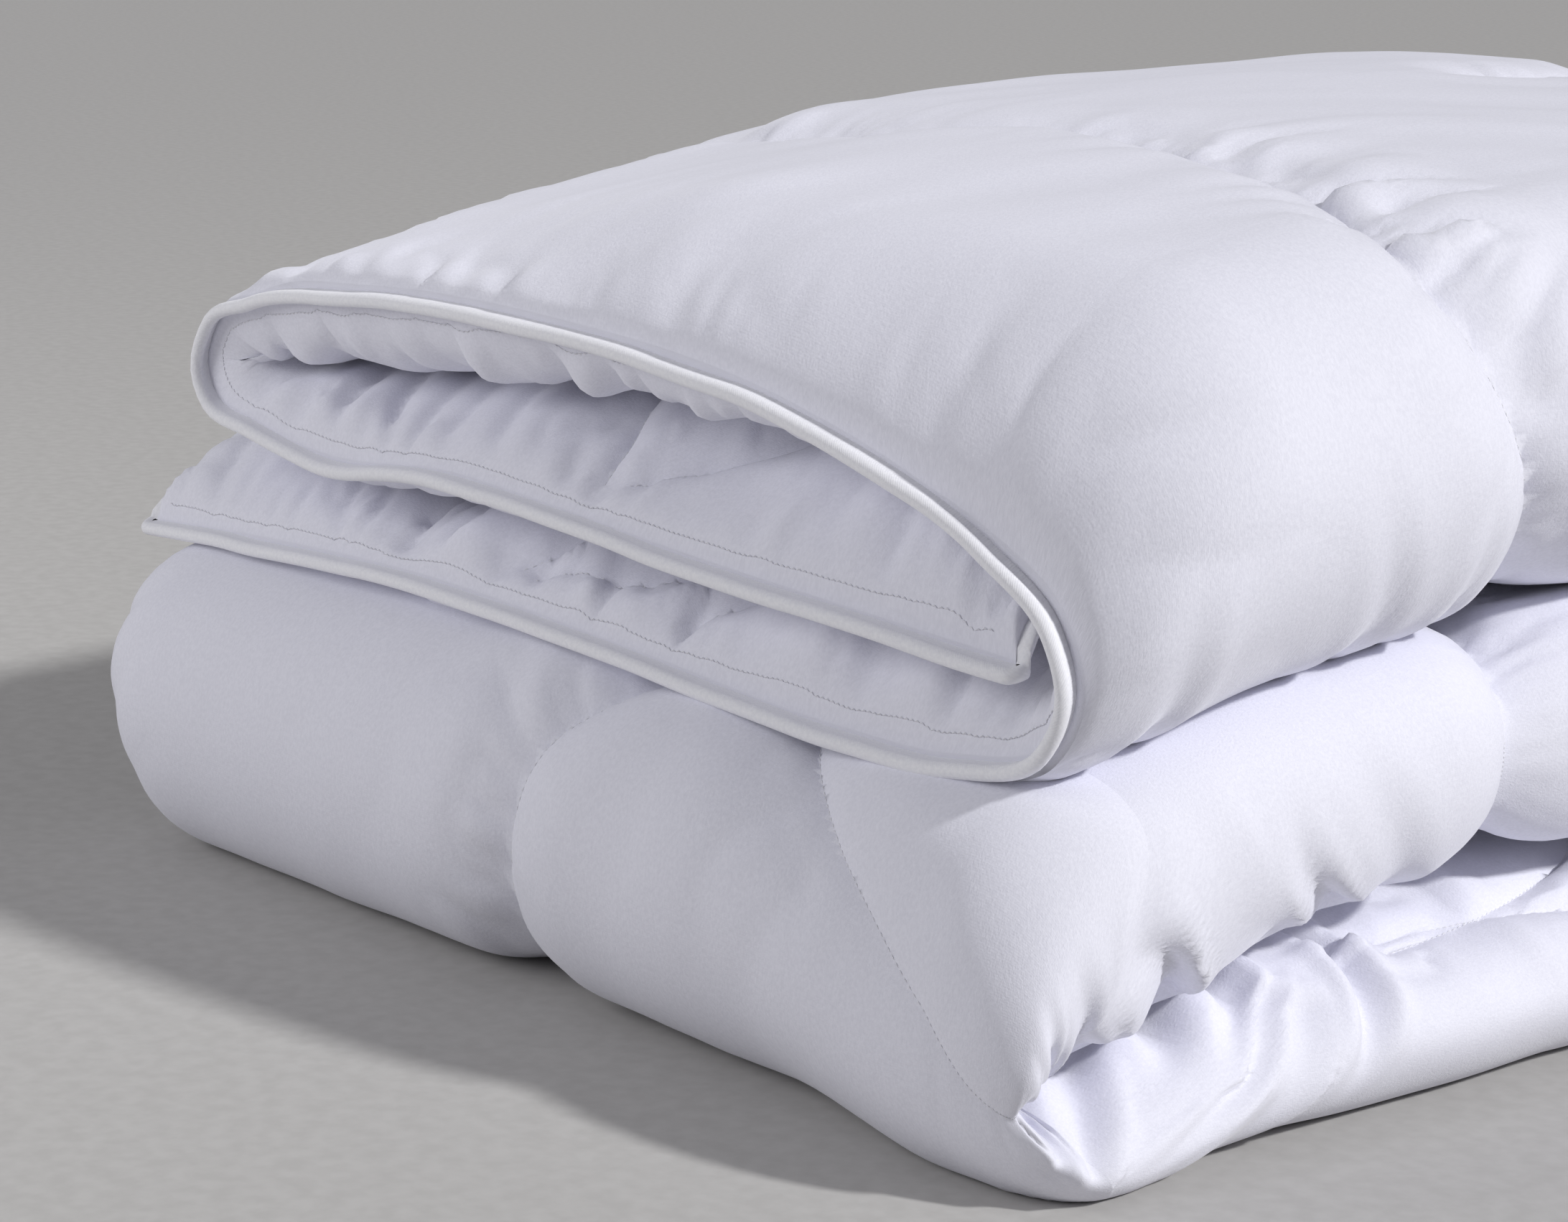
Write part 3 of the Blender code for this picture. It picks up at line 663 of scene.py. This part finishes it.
def nodes_for(name, colour, roughness, sheen):
    material = bpy.data.materials.new(name)
    material.use_nodes = True
    shader = material.node_tree.nodes["Principled BSDF"]
    shader.inputs["Base Color"].default_value = (*colour, 1.0)
    shader.inputs["Roughness"].default_value = roughness
    shader.inputs["Specular IOR Level"].default_value = 0.25
    shader.inputs["Sheen Weight"].default_value = sheen
    shader.inputs["Sheen Roughness"].default_value = 0.45
    flat = material.node_tree.nodes.new("ShaderNodeAttribute")
    flat.attribute_name = "flat"
    return material, shader, flat.outputs["Vector"]


def add_noise(material, place, scale, detail, stretch=(1, 1, 1)):
    """A noise texture's value over the flat cloth."""
    tree = material.node_tree
    mapping = tree.nodes.new("ShaderNodeMapping")
    mapping.inputs["Scale"].default_value = stretch
    texture = tree.nodes.new("ShaderNodeTexNoise")
    texture.inputs["Scale"].default_value = scale
    texture.inputs["Detail"].default_value = detail
    tree.links.new(place, mapping.inputs["Vector"])
    tree.links.new(mapping.outputs["Vector"], texture.inputs["Vector"])
    return texture.outputs["Fac"]


def add_ribs(material, place, pitch, turn, distortion):
    """Ribs across the flat cloth, a pitch apart and turned by an angle."""
    tree = material.node_tree
    mapping = tree.nodes.new("ShaderNodeMapping")
    mapping.inputs["Rotation"].default_value = (0, 0, turn)
    texture = tree.nodes.new("ShaderNodeTexWave")
    texture.inputs["Scale"].default_value = 0.314 / pitch
    texture.inputs["Distortion"].default_value = distortion
    texture.inputs["Detail"].default_value = 1.0
    tree.links.new(place, mapping.inputs["Vector"])
    tree.links.new(mapping.outputs["Vector"], texture.inputs["Vector"])
    return texture.outputs["Fac"]


def add_bump(material, shader, height, strength, distance, under=None):
    tree = material.node_tree
    bump = tree.nodes.new("ShaderNodeBump")
    bump.inputs["Strength"].default_value = strength
    bump.inputs["Distance"].default_value = distance
    tree.links.new(height, bump.inputs["Height"])
    if under is not None:
        tree.links.new(under, bump.inputs["Normal"])
    tree.links.new(bump.outputs["Normal"], shader.inputs["Normal"])
    return bump.outputs["Normal"]


def add_tint(material, shader, value, dark, light):
    """Base colour that runs from dark to light with the value."""
    tree = material.node_tree
    ramp = tree.nodes.new("ShaderNodeValToRGB")
    ramp.color_ramp.elements[0].position = 0.35
    ramp.color_ramp.elements[0].color = (*dark, 1.0)
    ramp.color_ramp.elements[1].position = 0.65
    ramp.color_ramp.elements[1].color = (*light, 1.0)
    tree.links.new(value, ramp.inputs["Fac"])
    tree.links.new(ramp.outputs["Color"], shader.inputs["Base Color"])


def microfibre():
    """Brushed microfibre: a mottled nap over a fine tight weave."""
    material, shader, flat = nodes_for("microfibre", (0.86, 0.86, 0.92), 0.86, 0.22)
    add_tint(
        material, shader, add_noise(material, flat, 620, 3.0), (0.80, 0.80, 0.89), (0.85, 0.85, 0.94)
    )
    nap = add_bump(material, shader, add_noise(material, flat, 900, 2.0), 0.35, 0.0006)
    weave = add_ribs(material, flat, 0.0008, 0.0, 0.6)
    nap = add_bump(material, shader, weave, 0.05, 0.0003, nap)
    across = add_ribs(material, flat, 0.0008, math.pi / 2, 0.6)
    nap = add_bump(material, shader, across, 0.05, 0.0003, nap)
    crumple = add_noise(material, flat, 55, 3.0, (1, 0.6, 1))
    add_bump(material, shader, crumple, 0.12, 0.0016, nap)
    return material


def twill():
    """The piping's strip of twill, with slanting ribs."""
    material, shader, flat = nodes_for("twill", (0.90, 0.90, 0.94), 0.80, 0.18)
    mottle = add_noise(material, flat, 480, 2.0)
    add_tint(material, shader, mottle, (0.86, 0.86, 0.91), (0.92, 0.92, 0.96))
    ribs = add_ribs(material, flat, 0.0011, math.radians(38), 0.8)
    slant = add_bump(material, shader, ribs, 0.20, 0.0004)
    add_bump(material, shader, add_noise(material, flat, 700, 2.0), 0.25, 0.0004, slant)
    return material


def sewing_thread():
    """Twisted polyester thread, with painted shade in the grooves between its plies."""
    material, shader, flat = nodes_for("sewing_thread", (0.84, 0.84, 0.89), 0.60, 0.10)
    ply_and_groove_shade = add_ribs(material, flat, 0.0006, math.radians(30), 0.2)
    # Painted shade: the colour darkens with the ply ribs' height, in the grooves between the plies.
    add_tint(material, shader, ply_and_groove_shade, (0.78, 0.78, 0.83), (0.88, 0.88, 0.92))
    add_bump(material, shader, ply_and_groove_shade, 0.4, 0.0002)
    return material


def studio_floor():
    material, shader, _ = nodes_for("studio_floor", (0.50, 0.49, 0.475), 0.75, 0.0)
    grain = add_noise(
        material, material.node_tree.nodes.new("ShaderNodeTexCoord").outputs["Object"], 90, 4.0
    )
    add_tint(material, shader, grain, (0.48, 0.47, 0.455), (0.52, 0.51, 0.495))
    add_bump(material, shader, grain, 0.05, 0.002)
    return material


cover_material, piping_material, thread_material = microfibre(), twill(), sewing_thread()

# ---- The pads: both panels and the wadding of each section ----
sparse = 1.0
edge = np.array(EDGE_STEPS)
columns = np.concatenate(
    [
        edge,
        spans(
            (0.018, 0.660, FINE * sparse),
            (0.660, 0.890, FINEST * sparse),
            (0.890, WIDTH - 0.018, FINE * sparse),
        ),
        WIDTH - edge[::-1],
    ]
)
rows = np.concatenate(
    [
        edge,
        spans(
            (0.015, 0.100, FINEST * sparse),
            (0.100, 0.420, COARSE * sparse),
            (0.420, 0.690, HIDDEN * sparse),
            (0.690, 0.985, FINEST * sparse),
            (0.985, 1.200, HIDDEN * sparse),
            (1.200, 1.560, FINE * sparse),
            (1.560, 1.980, FINEST * sparse),
            (1.980, 2.100, COARSE * sparse),
            (2.100, LENGTH - 0.015, HIDDEN * sparse),
            (V_ENDS[1], V_ENDS[2], V_ENDS[2] - V_ENDS[1]),
            (V_ENDS[3], V_ENDS[4], V_ENDS[4] - V_ENDS[3]),
        ),
        LENGTH - edge[::-1],
    ]
)
grid_u, grid_v = snapped(*np.meshgrid(columns, rows))
faces_w = {side: face(grid_u, grid_v, side) for side in (1, -1)}
grid_points = {side: fold(grid_u, grid_v, side * faces_w[side]) for side in (1, -1)}
grid_normals = {side: surface_normals(grid_points[side], side) for side in (1, -1)}


def strip_quads(first, second):
    """Quads between two loops of points of equal length."""
    return np.stack([first[:-1], first[1:], second[1:], second[:-1]], axis=1)


def make_pad(name):
    """One section's padding inside its two panels, as one closed body."""
    index = SECTIONS.index(name)
    low = np.searchsorted(rows, V_ENDS[index] - 1e-5)
    high = np.searchsorted(rows, V_ENDS[index + 1] - 1e-5)
    part = slice(low, high + 1)
    shape = grid_u[part].shape
    ids = np.arange(shape[0] * shape[1]).reshape(shape)
    top, bottom = ids, ids + ids.size
    quads = []
    for layer, turned in ((top, False), (bottom, True)):
        quad = np.stack([layer[:-1, :-1], layer[1:, :-1], layer[1:, 1:], layer[:-1, 1:]], -1)
        quad = quad.reshape(-1, 4)
        quads.append(quad[:, ::-1] if turned else quad)
    quads.append(strip_quads(top[0], bottom[0]))
    quads.append(strip_quads(bottom[-1], top[-1]))
    quads.append(strip_quads(bottom[:, 0], top[:, 0]))
    quads.append(strip_quads(top[:, -1], bottom[:, -1]))
    points = np.concatenate([grid_points[s][part].reshape(-1, 3) for s in (1, -1)])
    normals = np.concatenate([grid_normals[s][part].reshape(-1, 3) for s in (1, -1)])
    u, v = grid_u[part].ravel(), grid_v[part].ravel()
    height = [faces_w[side][part].ravel() for side in (1, -1)]
    flat = np.concatenate([np.stack([u + 3 * k, v, height[k]], 1) for k in (0, 1)])
    faces = np.concatenate(quads).tolist()
    obj = make_object(f"pad_{name}", points, faces, cover_material, flat, normals)
    join_to_bodies(
        obj,
        name,
        np.concatenate([v, v]),
        "cover_fabric",
        f"outer_panel_{name}",
        f"inner_panel_{name}",
        f"wadding_{name}",
    )


for section_name in SECTIONS:
    make_pad(section_name)

# ---- Piping: a cord in a strip of twill, whose seam allowance runs into the cloth's edge ----
ROUND = np.radians(np.linspace(-142, 142, 13))
TAIL_OUT = PIPING_OUT + 0.0040
TAIL_HALF = 0.0010


def make_piping(name, section_name, u, v, inward, *nodes):
    """Piping along flat points (u, v), with the cloth lying towards inward from each."""
    step = 0.001
    along = u + v
    u = u + PIPING_SWAY * noise(along / 0.045, 0 * along + 3.5, 91) * inward[:, 0]
    v = v + PIPING_SWAY * noise(along / 0.045, 0 * along + 3.5, 91) * inward[:, 1]
    lift = PIPING_LIFT * noise(along / 0.060, 0 * along + 7.5, 92)
    centre = fold(u, v, lift)
    to_cloth = fold(u + step * inward[:, 0], v + step * inward[:, 1], lift) - centre
    to_cloth = to_cloth / np.linalg.norm(to_cloth, axis=1)[:, None]
    up = fold(u, v, lift + step) - centre
    up = up - (up * to_cloth).sum(1)[:, None] * to_cloth
    up = up / np.linalg.norm(up, axis=1)[:, None]
    ring = [
        centre + PIPING_RADIUS * (-math.cos(turn) * to_cloth + math.sin(turn) * up)
        for turn in ROUND
    ]
    ring += [centre + TAIL_OUT * to_cloth + half * up for half in (TAIL_HALF, -TAIL_HALF)]
    points = np.stack(ring, axis=1)
    count, sides = points.shape[:2]
    ids = np.arange(count * sides).reshape(count, sides)
    after = np.roll(ids, -1, axis=1)
    quads = np.stack([ids[:-1], after[:-1], after[1:], ids[1:]], -1).reshape(-1, 4)
    run = np.concatenate([[0], np.cumsum(np.linalg.norm(np.diff(centre, axis=0), axis=1))])
    about = np.linspace(0, 2 * math.pi * PIPING_RADIUS, sides)
    flat = np.stack(np.broadcast_arrays(run[:, None], about[None], 0.0), -1).reshape(-1, 3)
    ends = [ids[0][::-1].tolist(), ids[-1].tolist()]
    if np.linalg.det([centre[1] - centre[0], points[0, 1] - points[0, 0], -to_cloth[0]]) > 0:
        quads, ends = quads[:, ::-1], [end[::-1] for end in ends]
    faces = quads.tolist() + ends
    obj = make_object(name, points.reshape(-1, 3), faces, piping_material, flat)
    obj.data.set_sharp_from_angle(angle=math.radians(60))
    join_to_bodies(obj, section_name, np.repeat(v, sides), "piping_fabric", *nodes)


def corner_path(v_edge, v_side, direction):
    """Flat points of an end's piping with its two rounded corners, and the way to the cloth."""
    turn = np.linspace(0, math.pi / 2, 7)
    corner = PIPING_OUT * np.stack([-np.cos(turn), -direction * np.sin(turn)], axis=1)
    along = np.arange(PIPING_STEP, WIDTH - PIPING_STEP / 2, PIPING_STEP * sparse)
    middle = np.stack([along, np.full(len(along), -direction * PIPING_OUT)], axis=1)
    far = np.stack([WIDTH - corner[::-1, 0], corner[::-1, 1]], axis=1)
    first = [[-PIPING_OUT, v_side - v_edge]]
    last = [[WIDTH + PIPING_OUT, v_side - v_edge]]
    path = np.concatenate([first, corner, middle, far, last])
    inward = np.concatenate(
        [
            [[1.0, 0.0]],
            -corner / PIPING_OUT,
            np.tile([0.0, direction], (len(along), 1)),
            np.stack([corner[::-1, 0], -corner[::-1, 1]], axis=1) / PIPING_OUT,
            [[-1.0, 0.0]],
        ]
    )
    return path[:, 0], path[:, 1] + v_edge, inward


for section_name in SECTIONS:
    index = SECTIONS.index(section_name)
    start, end = V_ENDS[index], V_ENDS[index + 1]
    start = start if index else CORD_CLEARANCE / 2
    end = end if index < len(SECTIONS) - 1 else LENGTH - CORD_CLEARANCE / 2
    spot = np.linspace(start, end, round((end - start) / (PIPING_STEP * sparse)) + 1)
    for side_name, at, inwards in (("outer", -PIPING_OUT, 1.0), ("inner", WIDTH + PIPING_OUT, -1.0)):
        make_piping(
            f"piping_{side_name}_side_{section_name}",
            section_name,
            np.full(len(spot), at),
            spot,
            np.tile([inwards, 0.0], (len(spot), 1)),
            f"{side_name}_side_piping_{section_name}",
        )
make_piping(
    "piping_front_end", "upper", *corner_path(0.0, CORD_CLEARANCE / 2, 1.0), "front_end_piping"
)
make_piping(
    "piping_back_end",
    "lower",
    *corner_path(LENGTH, LENGTH - CORD_CLEARANCE / 2, -1.0),
    "back_end_piping",
)

# ---- Stitches ----
STITCH_SIDES = 5
STITCH_RINGS = ((0.0, 0.55, -0.00015), (0.5, 1.0, 0.00035), (1.0, 0.55, -0.00015))


def make_stitches(name, section_name, start, end, side, *nodes):
    """Separate stitches, each from a flat start point to a flat end point, on one face."""
    middle = (start + end) / 2
    w = {key: face(*place.T, side) for key, place in (("a", start), ("m", middle), ("b", end))}
    first, last = fold(*start.T, side * w["a"]), fold(*end.T, side * w["b"])
    out = fold(*middle.T, side * (w["m"] + 0.001)) - fold(*middle.T, side * w["m"])
    size = np.linalg.norm(out, axis=1)[:, None]
    out = np.where(size > 0, out / np.maximum(size, 1e-12), (0, 0, -1))  # pressed flat: down
    along = (last - first) / np.linalg.norm(last - first, axis=1)[:, None]
    across = np.cross(along, out)
    across = across / np.linalg.norm(across, axis=1)[:, None]
    turns = np.linspace(0, 2 * math.pi, STITCH_SIDES, endpoint=False)
    rings = []
    for share, thick, lift in STITCH_RINGS:
        centre = first + share * (last - first) + lift * out
        for turn in turns:
            spoke = math.cos(turn) * across + math.sin(turn) * out
            rings.append(centre + STITCH_RADIUS * thick * spoke)
    points = np.stack(rings, axis=1)
    points[..., 2] -= np.minimum(points[..., 2].min(axis=1, keepdims=True), 0)
    count, each = points.shape[:2]
    around = np.arange(STITCH_SIDES)
    after = (around + 1) % STITCH_SIDES
    one = np.concatenate(
        [
            np.stack([k + around, k + after, k + STITCH_SIDES + after, k + STITCH_SIDES + around], 1)
            for k in (0, STITCH_SIDES)
        ]
    )
    offset = np.arange(count) * each
    quads = (offset[:, None, None] + one[None]).reshape(-1, 4)
    first_cap = offset[:, None] + around[::-1][None]
    last_cap = offset[:, None] + (2 * STITCH_SIDES + around)[None]
    faces = quads.tolist() + first_cap.tolist() + last_cap.tolist()
    flat = np.stack(
        np.broadcast_arrays(np.arange(each) * 0.0003, np.arange(count)[:, None] * 0.01, 0.0), -1
    ).reshape(-1, 3)
    obj = make_object(name, points.reshape(-1, 3), faces, thread_material, flat)
    join_to_bodies(obj, section_name, np.repeat(middle[:, 1], each), "thread", *nodes)


def dashes(line):
    """Flat start and end points of the stitches along a flat line."""
    run = np.concatenate([[0], np.cumsum(np.linalg.norm(np.diff(line, axis=0), axis=1))])
    pitch = (STITCH_LENGTH + STITCH_GAP) * 1.0
    at = np.arange(STITCH_GAP, run[-1] - STITCH_LENGTH, pitch)
    return [
        np.stack([np.interp(at + k * STITCH_LENGTH, run, line[:, i]) for i in (0, 1)], axis=1)
        for k in (0, 1)
    ]


def in_section(start, end, section_name):
    """The stitches whose middle lies in a section."""
    index = SECTIONS.index(section_name)
    v = (start[:, 1] + end[:, 1]) / 2
    kept = (v >= V_ENDS[index]) & (v < V_ENDS[index + 1])
    return start[kept], end[kept]


quilting = [np.concatenate(found) for found in zip(*(dashes(line) for line in seam_lines))]
for section_name in SECTIONS:
    own = in_section(*quilting, section_name)
    for thread_name, side in (("needle", 1), ("bobbin", -1)):
        stood_for = [f"{thread_name}_thread_{section_name}"] if section_name in THREADED else []
        make_stitches(f"{thread_name}_stitches_{section_name}", section_name, *own, side, *stood_for)
    for side_name, at in (("outer", TOPSTITCH_INSET), ("inner", WIDTH - TOPSTITCH_INSET)):
        line = np.array([[at, 2 * SEAM_INSET], [at, LENGTH - 2 * SEAM_INSET]])
        own = in_section(*dashes(line), section_name)
        make_stitches(
            f"topstitches_{side_name}_side_{section_name}",
            section_name,
            *own,
            -1,
            f"{side_name}_side_topstitch_{section_name}",
        )
for end_name, at, section_name in (
    ("front", TOPSTITCH_INSET, "upper"),
    ("back", LENGTH - TOPSTITCH_INSET, "lower"),
):
    line = np.array([[2 * SEAM_INSET, at], [WIDTH - 2 * SEAM_INSET, at]])
    make_stitches(
        f"topstitches_{end_name}_end",
        section_name,
        *dashes(line),
        -1,
        f"{end_name}_end_topstitch",
    )

# ---- Floor, light and camera ----
bpy.ops.mesh.primitive_plane_add(size=30, location=(0, 0, -0.0004))
floor = bpy.context.object
floor.name = "floor"
floor.data.materials.append(studio_floor())

world = bpy.data.worlds.new("studio")
bpy.context.scene.world = world
world.use_nodes = True
world.node_tree.nodes["Background"].inputs["Color"].default_value = (0.93, 0.93, 1.0, 1.0)
world.node_tree.nodes["Background"].inputs["Strength"].default_value = 0.26
bpy.context.scene.view_settings.view_transform = "Standard"


def add_light(name, kind, energy, towards, **settings):
    """A light that shines from the direction towards, at the middle of the stack."""
    data = bpy.data.lights.new(name, kind)
    data.energy = energy
    for key, value in settings.items():
        setattr(data, key, value)
    light = bpy.data.objects.new(name, data)
    towards = Vector(towards)
    light.location = Vector((0, 0, 0.2)) + towards
    light.rotation_mode = "QUATERNION"
    light.rotation_quaternion = towards.to_track_quat("Z", "Y")
    bpy.context.scene.collection.objects.link(light)


add_light("key", "SUN", 2.55, (2.0, 0.75, 1.5), angle=math.radians(4))
add_light("fill", "AREA", 31.0, (-1.6, -2.5, 1.2), shape="DISK", size=2.0)

CAMERA_AT = (1.514, -1.394, 0.576)
AZIMUTH, ELEVATION = math.radians(52), math.radians(12)
camera = bpy.data.objects.new("camera", bpy.data.cameras.new("camera"))
camera.data.sensor_width = 36.0
camera.data.lens = 92.3
camera.data.clip_start = 0.05
camera.location = CAMERA_AT
back_way = Vector(
    (
        math.sin(AZIMUTH) * math.cos(ELEVATION),
        -math.cos(AZIMUTH) * math.cos(ELEVATION),
        math.sin(ELEVATION),
    )
)
camera.rotation_mode = "QUATERNION"
camera.rotation_quaternion = (-back_way).to_track_quat("-Z", "Y")
bpy.context.scene.collection.objects.link(camera)
bpy.context.scene.camera = camera
